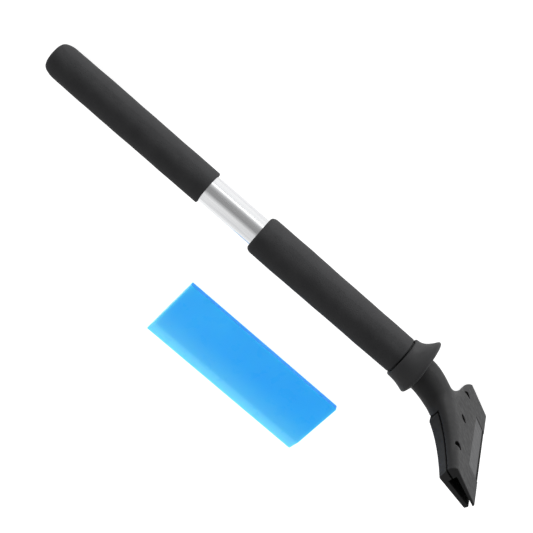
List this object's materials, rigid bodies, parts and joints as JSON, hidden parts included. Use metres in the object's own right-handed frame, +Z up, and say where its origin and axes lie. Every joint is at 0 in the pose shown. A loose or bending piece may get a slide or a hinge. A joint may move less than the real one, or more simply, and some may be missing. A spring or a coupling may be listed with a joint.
{
  "type": "long-handled squeegee with clamp-in blade",
  "caption": "Long-handled squeegee with two foam grips on an aluminium tube, a finger guard and a wide T-shaped clamping head, with its translucent blade taken out and lying beside it.",
  "frame": {"origin": "centre of the bounding box in plan, on the table that the tool and the blade lie on", "axes": "+Z up from the table; +X from the butt of the handle towards the head, level; +Y towards the side that the clamp screws enter. The tool lies on its side, so its handle rises 9 degrees towards the head"},
  "size_m": [0.418, 0.1768, 0.1528],
  "materials": {
    "foam": "matte closed-cell foam",
    "nylon": "fine moulded grain",
    "guard": "satin",
    "aluminium": "bright drawn",
    "plug": "satin",
    "steel": "zinc plated",
    "brass": "turned",
    "polyurethane": "translucent, satin"
  },
  "bodies": {
    "handle": {"upper_grip": "foam", "tube_plug": "plug", "handle_tube": "aluminium", "lower_grip": "foam", "rivet_rear": "steel", "rivet_front": "steel", "finger_guard": "guard", "head_body": "nylon"},
    "jaw": {"clamp_jaw": "nylon", "insert_near": "brass", "insert_middle": "brass", "insert_far": "brass"},
    "screw_near": {"clamp_screw_near": "steel"},
    "screw_middle": {"clamp_screw_middle": "steel"},
    "screw_far": {"clamp_screw_far": "steel"},
    "loose_blade": {"blade": "polyurethane"}
  },
  "joints": [
    {"name": "jaw_slide", "type": "slide", "parent": "handle", "child": "jaw", "axis": [-0.0125, -0.9969, 0.0775], "range_m": [0, 0.0044]},
    {"name": "screw_near_turn", "type": "hinge", "parent": "handle", "child": "screw_near", "pos_m": [0.16213, 0.05857, 0.11893], "axis": [0.0125, 0.9969, -0.0775], "range_deg": [0, 3170]},
    {"name": "screw_middle_turn", "type": "hinge", "parent": "handle", "child": "screw_middle", "pos_m": [0.16944, 0.05496, 0.07366], "axis": [0.0125, 0.9969, -0.0775], "range_deg": [0, 3170]},
    {"name": "screw_far_turn", "type": "hinge", "parent": "handle", "child": "screw_far", "pos_m": [0.17675, 0.05136, 0.02838], "axis": [0.0125, 0.9969, -0.0775], "range_deg": [0, 3170]},
    {"name": "blade_lift", "type": "slide", "parent": "handle", "child": "loose_blade", "axis": [0, 0, 1], "range_m": [0, 0.08]}
  ],
  "couplings": [
    {"joint": "screw_near_turn", "follows": "jaw_slide", "rad_per_m": 12566},
    {"joint": "screw_middle_turn", "follows": "jaw_slide", "rad_per_m": 12566},
    {"joint": "screw_far_turn", "follows": "jaw_slide", "rad_per_m": 12566}
  ]
}
